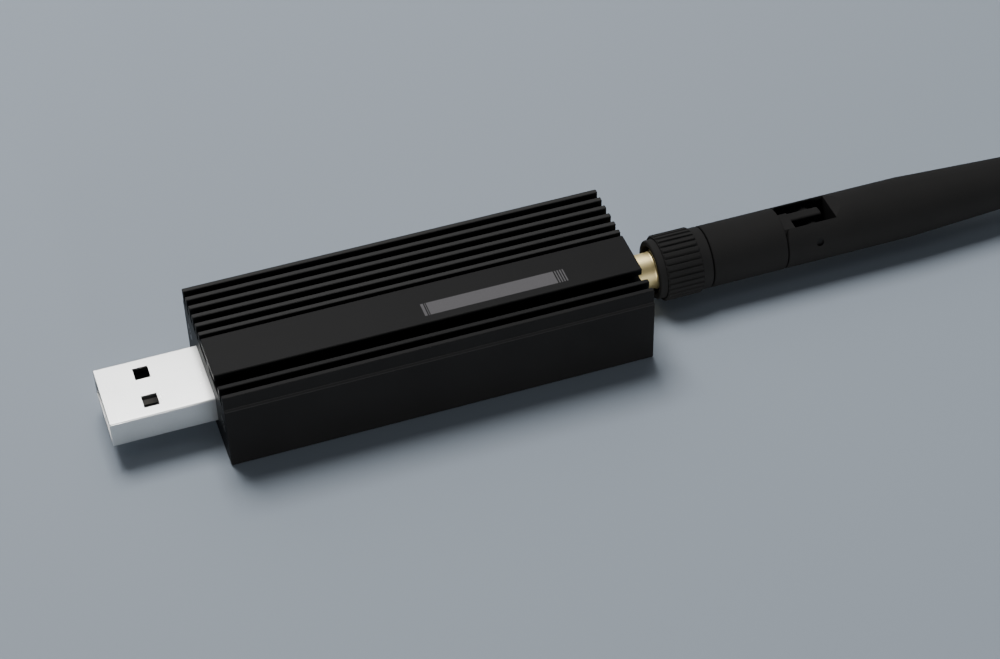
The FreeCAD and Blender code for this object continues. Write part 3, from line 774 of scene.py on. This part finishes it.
def dress(material: bpy.types.Material, *nodes: str) -> None:
    """Gives CAD nodes a material.

    Args:
        material: The material.
        *nodes: The names of the nodes.
    """
    for name in nodes:
        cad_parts[name].data.materials.clear()
        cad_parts[name].data.materials.append(material)
        log.info("%s wears %s", name, material.name)


def corners(node: str) -> tuple[Vector, Vector]:
    """Returns the lowest and highest corners of a CAD node, in millimetres."""
    low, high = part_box(node)
    return low / MM, high / MM


def thread_height(turns: float, root: float = 0.12, flanks: float = 0.6) -> float:
    """Returns a thread's height, 0 to 1. Args: turns, along it; root and flanks, shares of its pitch."""
    place = abs((turns % 1.0) - 0.5) * 2
    return min(1.0, max(0.0, (place - root) / flanks))


@dataclass
class Screw:
    """A countersunk screw with a tapered cross recess and a rolled thread."""

    head_radius: float = 1.4
    head_height: float = 0.5
    rim: tuple[Point, ...] = ((0.0, -0.06), (0.03, -0.015), (0.08, -0.08))
    hub_radius: float = 0.05
    neck_step: float = 0.02
    crest_radius: float = 0.9
    root_radius: float = 0.7
    point_step: float = 0.15
    point_length: float = 0.5
    length: float = 6.0
    pitch: float = 0.5
    steps_per_turn: int = 10
    recess_width: float = 0.36
    recess_span: float = 1.7
    recess_depth: float = 0.34
    recess_taper: float = 0.45
    recess_overshoot: float = 0.2
    corner_count: int = 40

    def outline(self) -> list[Point]:
        """Draws the profile.

        Returns:
            Depths and radii, from the middle of the head to the point.
        """
        points = [(0.0, self.hub_radius)]
        points += [(depth, self.head_radius + change) for depth, change in self.rim]
        points += [(self.head_height, self.crest_radius - self.neck_step)]
        shank = self.length - self.head_height
        steps = int(shank / self.pitch * self.steps_per_turn)
        points += [(self.head_height + shank * step / steps, self.crest_radius) for step in range(1, steps)]
        return points + [(self.length, self.root_radius - self.point_step), (self.length, self.hub_radius)]

    def radius(self, depth: float, outer: float, angle: float) -> float:
        """Cuts the thread into the profile.

        Args:
            depth: How far below the head's face.
            outer: The profile's radius there.
            angle: Where round the screw.

        Returns:
            The radius with the thread.
        """
        if not self.head_height < depth < self.length:
            return outer
        height = thread_height(depth / self.pitch - angle / TURN)
        threaded = self.root_radius + (self.crest_radius - self.root_radius) * height
        taper = min(1.0, (self.length - depth) / self.point_length)
        return (self.root_radius - self.point_step) * (1 - taper) + threaded * taper

    def arm(self, face: float, inward: int, centre: Point, across: float, up: float) -> bpy.types.Object:
        """Makes the cutter of one arm of the recess, whose long side narrows with depth.

        Args:
            face: The x of the plate's face.
            inward: 1 or -1, the way that the screw points along X.
            centre: The screw's y and z.
            across: The arm's size along Y.
            up: The arm's size along Z.

        Returns:
            The cutter, in millimetres.
        """
        rings = []
        for depth, share in ((-self.recess_overshoot, 1.0), (self.recess_depth, self.recess_taper)):
            half_y = across / 2 * (share if across > up else 1.0)
            half_z = up / 2 * (share if up > across else 1.0)
            rings.append([(face + inward * depth, centre[0] + side * half_y, centre[1] + rise * half_z)
                          for side, rise in ((-1, -1), (1, -1), (1, 1), (-1, 1))])
        return Form("recess").loft(rings).object()

    def build(self, name: str, face: float, inward: int, places: Sequence[Point]) -> bpy.types.Object:
        """Makes a set of screws as one piece.

        Args:
            name: The piece's name.
            face: The x of the plate's face.
            inward: 1 or -1, the way that the screws point along X.
            places: Their y and z.

        Returns:
            The piece, in millimetres.
        """
        shanks = Form(name)
        outline = [(face + inward * depth, radius) for depth, radius in self.outline()]
        for centre in places:
            shanks.turned(outline, even_angles(self.corner_count), centre,
                          radius=lambda x, r, angle: self.radius(abs(x - face), r, angle))
        piece = shanks.object()
        arms = ((self.recess_span, self.recess_width), (self.recess_width, self.recess_span))
        for centre in places:
            for across, up in arms:
                combine(piece, self.arm(face, inward, centre, across, up), Join.CUT)
        return piece


@dataclass
class Housing:
    """The finned extrusion with its print, its two end plates and their screws."""

    screw_y: float = 10.2
    screw_z: float = 6.45
    screw: Screw = field(default_factory=Screw)
    label: PrintedBar = PrintedBar()
    # The ledges along both sides are painted lighter in a narrow strip: a painted highlight where light
    # catches them.
    ledge_highlight: PaintedHighlight = PaintedHighlight((0.045, 0.044, 0.044), rise=(10.83, 10.89), fall=(11.09, 11.15),
                        inner=(12.33, 12.37), both_sides=True, weakest=0.75)
    # The tops of the fins beyond the plateau's far side are painted lighter: a painted highlight.
    fin_tip_highlight: PaintedHighlight = PaintedHighlight((0.037, 0.0365, 0.036), rise=(12.7, 13.3), inner=(0.85, 0.9))

    def build(self) -> None:
        """Dresses the extrusion and the plates, and makes the screws."""
        # The painted highlights on the ledges and on the far fins' tips.
        painted_highlights = (self.ledge_highlight, self.fin_tip_highlight)
        finish = BlackAnodising("housing_anodising", printed=self.label, painted_highlights=painted_highlights)
        dress(finish.build(), "housing_extrusion")
        dress(BlackAnodising("plate_anodising", (0.0105, 0.0103, 0.0102), 0.5, 0.09).build(),
              "usb_end_plate", "antenna_end_plate")
        blacked = PlatedMetal("blacked_steel", (0.06, 0.06, 0.062), 0.42, Run.ROUND).build()
        low, high = corners("housing_extrusion")
        places = [(side * self.screw_y, self.screw_z) for side in (-1, 1)]
        for name, node, face, inward in (("usb_end_screws", "usb_plate_screws", low.x, 1),
                                         ("antenna_end_screws", "antenna_plate_screws", high.x, -1)):
            seat(self.screw.build(name, face, inward, places), "housing", node, blacked)


@dataclass
class Plug:
    """The plug: a folded steel shell with windows and a seam below, a moulded tongue and contacts."""

    width: float = 12.0
    sheet: float = 0.3
    corner: float = 0.22
    least_corner: float = 0.08
    lip: float = 0.12
    lip_turns: tuple[float, ...] = (90.0, 67.0, 45.0, 22.0, 0.0)
    mouth_flare: float = 0.1
    sections: tuple[float, ...] = (3.0, 12.0)
    window_length: float = 2.3
    window_width: float = 2.5
    window_corner: float = 0.12
    window_setback: float = 6.7
    window_y: float = 3.0
    seam_gap: float = 0.05
    seam_depth: float = 0.35
    key_setback: float = 11.0
    key_length: float = 2.2
    key_slant: float = 0.25
    key_width: float = 1.0
    ear_length: float = 1.2
    ear_setback: float = 0.15
    edge: float = 0.03
    edge_angle: float = 50.0

    def ring(self, x: float, inset: float, height: float, middle: float) -> list[Place]:
        """Returns one section of the shell, drawn in by an inset. Args: x; inset; height; middle, its z."""
        outline = rounded_rectangle(self.width - 2 * inset, height - 2 * inset,
                                    max(self.corner - inset, self.least_corner))
        return [(x, y, middle + z) for y, z in outline]

    def seam(self) -> list[Point]:
        """Draws the seam's narrow gap, with one dovetail.

        Returns:
            The gap's outline.
        """
        low, high = corners("plug_shell")
        start = low.x + self.key_setback
        end = start + self.key_length
        path = [(low.x - OVERSHOOT, 0.0), (start, 0.0), (start - self.key_slant, self.key_width),
                (end + self.key_slant, self.key_width), (end, 0.0), (high.x + OVERSHOOT, 0.0)]
        return ribbon(path, self.seam_gap)

    def tube(self) -> bpy.types.Object:
        """Makes the plain shell with its rolled mouth.

        Returns:
            The piece, in millimetres.
        """
        low, high = corners("plug_shell")
        height, middle = high.z - low.z, (high.z + low.z) / 2
        turns = [math.radians(turn) for turn in self.lip_turns]
        sections = [low.x + setback for setback in self.sections]
        stations = [(low.x + self.lip * (1 - math.sin(turn)), self.lip * (1 - math.cos(turn)))
                    for turn in turns]
        stations += [(x, 0.0) for x in (*sections, high.x)]
        stations += [(x, self.sheet) for x in (high.x, *reversed(sections), low.x + self.mouth_flare)]
        stations += [(low.x, self.sheet - self.mouth_flare / 2)]
        rings = [self.ring(x, inset, height, middle) for x, inset in stations]
        return Form("plug_shell_folded").loft(rings, closed=True).object()

    def shell(self) -> bpy.types.Object:
        """Makes the folded shell with its windows, its ears and its seam.

        Returns:
            The piece, in millimetres.
        """
        low, high = corners("plug_shell")
        board_top = corners("circuit_board")[1].z
        piece = self.tube()
        opening = rounded_rectangle(self.window_length, self.window_width, self.window_corner)
        for side in (-1, 1):
            outline = [(low.x + self.window_setback + x, side * self.window_y + y) for x, y in opening]
            window = Form("window").upright(outline, low.z - OVERSHOOT, high.z + OVERSHOOT)
            combine(piece, window.object(), Join.CUT)
            root, reach = sorted((side * (self.width - self.sheet) / 2, side * high.y))
            ear = Form("ear").block((high.x - self.ear_setback - self.ear_length, root, board_top),
                                    (high.x - self.ear_setback, reach, board_top + self.sheet))
            combine(piece, ear.object(), Join.ADD)
        seam = Form("seam").upright(self.seam(), low.z - OVERSHOOT, low.z + self.seam_depth)
        combine(piece, seam.object(), Join.CUT)
        soften(piece, self.edge, self.edge_angle)
        return piece

    def build(self) -> None:
        """Makes the shell and dresses the tongue and the contacts."""
        steel = PlatedMetal("plug_nickel", (0.81, 0.815, 0.8), 0.3, Run.CROSSWISE, 0.0008 * MM, 0.06).build()
        seat(self.shell(), "housing", "plug_shell", steel)
        dress(MouldedPlastic("plug_moulding", (0.05, 0.048, 0.05), 0.5).build(), "plug_insulator")
        dress(PlatedMetal("contact_plating", (0.4, 0.385, 0.36), 0.36).build(), "plug_contacts")


@dataclass
class Electronics:
    """The circuit board and the small parts on it."""

    protection_lead: float = 0.54
    regulator_lead: float = 1.69
    capacitor_tip: float = 0.3
    resistor_tip: float = 0.15
    cup_height: float = 0.45
    coil_foot: float = 0.35
    coil_recess: float = 0.3
    black: Colour = (0.016, 0.016, 0.017)

    def leaded(self, name: str, colour: Colour, node: str, tip: float, axis: int = 0) -> None:
        """Dresses a part with tinned ends. Args: name; colour; node; tip, the length of an end; axis."""
        low, high = (corner[axis] for corner in corners(node))
        dress(TinnedBody(name, colour, (low + high) / 2, (high - low) / 2 - tip, axis).build(), node)

    def build(self) -> None:
        """Dresses the board and everything on it."""
        low, high = corners("circuit_board")
        dress(BoardLaminate("green_board", high.z, low.z).build(), "circuit_board")
        self.leaded("protection_epoxy", self.black, "protection_chip", self.protection_lead, 1)
        self.leaded("regulator_epoxy", self.black, "voltage_regulator", self.regulator_lead)
        self.leaded("capacitor_ceramic", (0.42, 0.27, 0.14), "capacitors", self.capacitor_tip)
        self.leaded("resistor_ceramic", (0.02, 0.02, 0.022), "resistors", self.resistor_tip)
        dress(MouldedPlastic("chip_epoxy", self.black, 0.55, 0.4, 0.09 * MM, 0.004 * MM).build(),
              "serial_chip", "radio_chip")
        dress(PlatedMetal("switch_steel", (0.5, 0.5, 0.5), 0.36).build(),
              "boot_switch_frame", "reset_switch_frame")
        dress(MouldedPlastic("button_plastic", (0.72, 0.71, 0.68), 0.42, 0.5, 0.1 * MM, 0.004 * MM).build(),
              "boot_button", "reset_button")
        foot, _ = corners("status_lights")
        dress(ClearLens("status_lens", foot.z + self.cup_height).build(), "status_lights")
        foot, head = corners("inductors")
        coil = WoundCoil("inductor_coil", foot.z + self.coil_foot, head.z - self.coil_recess)
        dress(coil.build(), "inductors")
        tin = PlatedMetal("tinned_steel", (0.66, 0.66, 0.65), 0.3, Run.LENGTHWISE, 0.002 * MM).build()
        dress(tin, "shield_can", "radio_crystal", "clock_crystal")


@dataclass
class Jack:
    """The antenna jack: legs, a square flange and a neck with a helical thread."""

    flange_size: float = 6.4
    flange_length: float = 1.6
    flange_corner: float = 0.25
    leg_length: float = 4.0
    leg_size: float = 1.0
    leg_y: float = 2.6
    leg_overlap: float = 0.8
    tube_setback: float = 0.3
    neck_radius: float = 2.85
    crest_radius: float = 3.15
    bore_radius: float = 2.1
    mouth_chamfer: float = 0.12
    run_in: float = 0.05
    thread_length: float = 6.6
    turns: int = 9
    steps_per_turn: int = 12
    corner_count: int = 96
    edge: float = 0.06
    edge_angle: float = 60.0

    def radius(self, along: float, outer: float, angle: float) -> float:
        """Cuts the thread into the neck.

        Args:
            along: How far past the thread's start.
            outer: The outline's radius there.
            angle: Where round the neck.

        Returns:
            The radius with the thread.
        """
        if outer < self.crest_radius:
            return outer
        turns = along * self.turns / self.thread_length
        height = thread_height(turns - angle / TURN) * max(0.0, min(1.0, turns, self.turns - turns))
        return self.neck_radius + (self.crest_radius - self.neck_radius) * height

    def flange(self, front: float, rear: float, axis_z: float) -> bpy.types.Object:
        """Makes the square flange with its bore, and the four legs that straddle the board.

        Args:
            front: The x of the face that the legs stand on.
            rear: The x of the other face.
            axis_z: The height of the jack's axis.

        Returns:
            The flange, in millimetres.
        """
        square = rounded_rectangle(self.flange_size, self.flange_size, self.flange_corner)
        circle = [(self.bore_radius * math.cos(angle), self.bore_radius * math.sin(angle))
                  for angle in even_angles(self.corner_count)]
        plate = Form("flange").along(square, front, rear, axis_z).object()
        bore = Form("bore").along(circle, front - OVERSHOOT, rear + OVERSHOOT, axis_z)
        combine(plate, bore.object(), Join.CUT)
        board_low, board_high = corners("circuit_board")
        half = self.leg_size / 2
        for y in (-self.leg_y, self.leg_y):
            for foot in (board_high.z, board_low.z - self.leg_size):
                leg = Form("leg").block((front - self.leg_length, y - half, foot),
                                        (front + self.leg_overlap, y + half, foot + self.leg_size))
                combine(plate, leg.object(), Join.ADD)
        soften(plate, self.edge, self.edge_angle)
        return plate

    def body(self) -> bpy.types.Object:
        """Makes the jack's body.

        Returns:
            The piece, in millimetres.
        """
        low, high = corners("jack_body")
        axis_z = (low.z + high.z) / 2
        flange, face = low.x + self.leg_length, high.x
        neck, start = flange + self.flange_length, face - self.thread_length
        inner = flange + self.tube_setback
        steps = self.turns * self.steps_per_turn
        outline = [(inner, self.bore_radius), (inner, self.neck_radius), (neck, self.neck_radius),
                   (start - self.run_in, self.neck_radius)]
        outline += [(start + self.thread_length * step / steps, self.crest_radius) for step in range(steps)]
        edge = self.mouth_chamfer
        outline += [(face, self.neck_radius - edge), (face, self.bore_radius + edge),
                    (face - edge, self.bore_radius)]
        tube = Form("jack_threaded").turned(
            outline, even_angles(self.corner_count), (0.0, axis_z), closed=True,
            radius=lambda x, r, angle: self.radius(x - start, r, angle))
        piece = tube.object()
        combine(piece, self.flange(flange, neck, axis_z), Join.ADD)
        return piece

    def build(self) -> None:
        """Makes the body and dresses the tube and the contact inside it."""
        gold = PlatedMetal("turned_gold", (1.0, 0.82, 0.42), 0.45, Run.ROUND, 0.0003 * MM, 0.04).build()
        seat(self.body(), "housing", "jack_body", gold)
        dress(gold, "jack_centre_contact")
        dress(SlickTube("white_tube", (0.8, 0.79, 0.76), 0.4, 0.1).build(), "jack_insulator",
              "connector_insulator")


@dataclass
class Grip:
    """The nut's plastic grip: fine lengthwise ribs between two plain collars."""

    rib_count: int = 32
    groove_radius: float = 0.24
    groove_depth: float = 0.26
    least_cut: float = 0.024
    land_edge: float = 0.03
    land_slope: float = 0.8
    rib_height: float = 0.32
    rib_length: float = 5.9
    rib_draft: float = 0.01
    front_step: float = 0.23
    front_collar: float = 1.15
    collar_run: float = 0.1
    collar_fillet: float = 0.03
    bore_radius: float = 3.8
    bore_chamfer: float = 0.1
    radius: float = 4.88
    front_edge: float = 0.3
    rear_edge: float = 0.2
    rear_gap: float = 0.1
    chamfer: float = 0.2
    groove_steps: tuple[float, ...] = (-1.0, -0.88, -0.66, -0.4, -0.13, 0.13, 0.4, 0.66, 0.88, 1.0)
    land_steps: tuple[float, ...] = (0.1, 0.35, 0.65, 0.9)
    tolerance: float = 1.001

    def groove_middle(self) -> float:
        """Returns how far each groove's own axis lies from the antenna's."""
        return self.radius + self.rib_height - self.groove_depth + self.groove_radius

    def half_groove(self) -> float:
        """Returns half the angle that one groove takes of the ribs' crest."""
        crest, middle = self.radius + self.rib_height, self.groove_middle()
        return math.acos((crest ** 2 + middle ** 2 - self.groove_radius ** 2) / (2 * crest * middle))

    def angles(self) -> list[float]:
        """Places the corners round the grip, closer together in the grooves.

        Returns:
            Their angles.
        """
        half, pitch = self.half_groove(), TURN / self.rib_count
        land = pitch - 2 * half
        offsets = [half * share for share in self.groove_steps]
        offsets += [half + land * share for share in self.land_steps]
        return [pitch * rib + offset for rib in range(self.rib_count) for offset in offsets]

    def cut(self, outer: float, angle: float) -> float:
        """Cuts the grooves and eases the edges of the ribs between them.

        Args:
            outer: The radius before the cut.
            angle: Where round the grip.

        Returns:
            The radius after it.
        """
        pitch = TURN / self.rib_count
        offset = (angle + pitch / 2) % pitch - pitch / 2
        middle = self.groove_middle()
        across = middle * math.sin(offset)
        if abs(across) > self.groove_radius or abs(offset) > self.half_groove() * self.tolerance:
            from_edge = abs(abs(offset) - self.half_groove()) * outer
            return outer - max(0.0, self.land_edge - from_edge) * self.land_slope
        groove = middle * math.cos(offset) - math.sqrt(self.groove_radius ** 2 - across ** 2)
        return min(outer - self.least_cut, groove)

    def outline(self, front: float, rear: float) -> list[Point]:
        """Draws the profile, from the bore's front edge round the outside to its rear edge.

        Args:
            front: The x of the grip's front.
            rear: The x of its rear.

        Returns:
            Its (x, radius) points.
        """
        nose, crest = self.radius - self.front_step, self.radius + self.rib_height
        start = front + self.front_collar
        end = start + self.rib_length
        shoulder = crest - self.chamfer
        mouth = self.bore_radius + self.bore_chamfer
        return [
            (front + self.bore_chamfer, self.bore_radius), (front, mouth),
            *arc((front + self.front_edge, nose - self.front_edge), self.front_edge, 180, 90),
            (start - self.collar_run, nose), (start, nose + self.collar_fillet),
            (start + self.rib_draft, shoulder), (start + self.chamfer, crest), ((start + end) / 2, crest),
            (end - self.chamfer, crest), (end - self.rib_draft, shoulder),
            (end, self.radius + self.collar_fillet), (end + self.collar_run, self.radius),
            *arc((rear - self.rear_edge, self.radius - self.rear_edge), self.rear_edge, 90, 0, 4),
            (rear, mouth), (rear - self.bore_chamfer, self.bore_radius),
        ]

    def build(self) -> None:
        """Makes the grip."""
        low, high = corners("knurled_sleeve")
        centre = (0.0, (low.z + high.z) / 2)
        ribbed = self.radius + self.rib_height - self.chamfer - self.rib_draft
        form = Form("ribbed_grip").turned(
            self.outline(low.x, high.x - self.rear_gap), self.angles(), centre, closed=True,
            radius=lambda x, r, angle: self.cut(r, angle) if r > ribbed else r)
        plastic = MouldedPlastic("grip_plastic", (0.0265, 0.026, 0.0255), 0.72, 0.04).build()
        seat(form.object(), "coupling_nut", "knurled_sleeve", plastic)


@dataclass
class Antenna:
    """The connector's inner parts, the swivel base, the folding blade and the aerial inside them."""

    axis_z: float = 5.55
    plastic: Colour = (0.0235, 0.023, 0.0225)

    def build(self) -> None:
        """Dresses every part of the antenna."""
        brass = PlatedMetal("turned_brass", (0.78, 0.58, 0.28), 0.3, Run.ROUND).build()
        dress(brass, "coupling_nut", "connector_core")
        dress(PlatedMetal("spring_steel", (0.55, 0.55, 0.56), 0.35, Run.ROUND).build(), "retaining_ring")
        dress(PlatedMetal("pin_gold", (0.84, 0.62, 0.28), 0.2, Run.ROUND).build(), "connector_pin")
        dress(MouldedPlastic("antenna_plastic", self.plastic, 0.74, 0.035, parting_z=self.axis_z).build(),
              "swivel_base", "blade_shell")
        dress(PlatedMetal("blacked_pin", (0.035, 0.035, 0.035), 0.6, Run.CROSSWISE).build(), "hinge_pin")
        dress(SlickTube("coax_jacket", (0.16, 0.06, 0.025), 0.3).build(), "base_coax", "blade_coax")
        dress(PlatedMetal("rolled_brass", (0.75, 0.55, 0.25), 0.32).build(), "dipole_sleeve", "dipole_wire")


@dataclass(frozen=True)
class Lamp:
    """A soft square light: its place and the length of its sides in metres, and its power in watts."""

    name: str
    place: Place
    size: float
    power: float


@dataclass
class Studio:
    """The pale floor, the soft lights and the camera at the photograph's angle."""

    azimuth: float = math.radians(-17.891)
    elevation: float = math.radians(43.684)
    roll: float = math.radians(-1.586)
    distance: float = 363.734 * MM
    target: Place = (13.05 * MM, 0.991 * MM, 0.0)
    lens: float = 85.2
    sensor_width: float = 36.0
    lamps: tuple[Lamp, ...] = (
        Lamp("key", (-0.05, 0.42, 0.81), 0.42, 6.8),
        Lamp("panel", (0.05, 0.72, 0.62), 1.1, 2.9),
        Lamp("overhead", (0.20, -0.13, 0.93), 0.35, 0.22),
        Lamp("front", (-0.1, -1.0, 0.08), 0.15, 4.4),
    )
    lamp_target: Place = (0.02, 0.0, 0.0)
    sky_colour: Colour = (0.75, 0.85, 1.0)
    sky_strength: float = 0.055
    floor_reach: float = 3.0
    floor_colour: Colour = (0.36, 0.415, 0.48)
    floor_roughness: float = 0.7

    def camera(self) -> None:
        """Places the camera."""
        back = Vector((math.sin(self.azimuth) * math.cos(self.elevation),
                       -math.cos(self.azimuth) * math.cos(self.elevation), math.sin(self.elevation)))
        right = (-back).cross(Vector((0, 0, 1))).normalized()
        up = right.cross(-back)
        across = math.cos(self.roll) * right + math.sin(self.roll) * up
        upward = math.cos(self.roll) * up - math.sin(self.roll) * right
        data = bpy.data.cameras.new("camera")
        data.lens = self.lens
        data.sensor_width = self.sensor_width
        camera = show("camera", data)
        turn = Matrix((across, upward, back)).transposed()
        place = Vector(self.target) + back * self.distance
        camera.matrix_world = Matrix.Translation(place) @ turn.to_4x4()
        bpy.context.scene.camera = camera

    def light(self, lamp: Lamp) -> None:
        """Adds a light and turns it to the stick.

        Args:
            lamp: The light.
        """
        data = bpy.data.lights.new(lamp.name, "AREA")
        data.size = lamp.size
        data.energy = lamp.power
        made = show(lamp.name, data)
        made.location = lamp.place
        made.rotation_mode = "QUATERNION"
        made.rotation_quaternion = (Vector(lamp.place) - Vector(self.lamp_target)).to_track_quat("Z", "Y")
        made.visible_camera = False

    def floor(self) -> None:
        """Lays a plain floor at the height of the housing's underside."""
        mesh = bpy.data.meshes.new("floor")
        near, far = -self.floor_reach, self.floor_reach
        square = [(near, near, 0), (far, near, 0), (far, far, 0), (near, far, 0)]
        mesh.from_pydata(square, [], [(0, 1, 2, 3)])
        plain = {"Base Color": (*self.floor_colour, 1.0), "Roughness": self.floor_roughness}
        mesh.materials.append(Graph("floor").surface(plain))
        floor = show("floor", mesh)

    def sky(self) -> None:
        """Sets the faint light from all round."""
        world = bpy.data.worlds.new("studio")
        world.use_nodes = True
        background = world.node_tree.nodes["Background"]
        background.inputs["Color"].default_value = (*self.sky_colour, 1.0)
        background.inputs["Strength"].default_value = self.sky_strength
        bpy.context.scene.world = world

    def build(self) -> None:
        """Sets up the whole studio."""
        self.camera()
        self.floor()
        for lamp in self.lamps:
            self.light(lamp)
        self.sky()


def main() -> None:
    """Builds the studio and the radio stick, one sub-assembly after the other."""
    logging.basicConfig(level=logging.INFO, format="%(message)s")
    Studio().build()
    for assembly in (Housing(), Plug(), Electronics(), Jack(), Grip(), Antenna()):
        log.info("building the %s", type(assembly).__name__.lower())
        assembly.build()


if __name__ == "__main__":
    main()
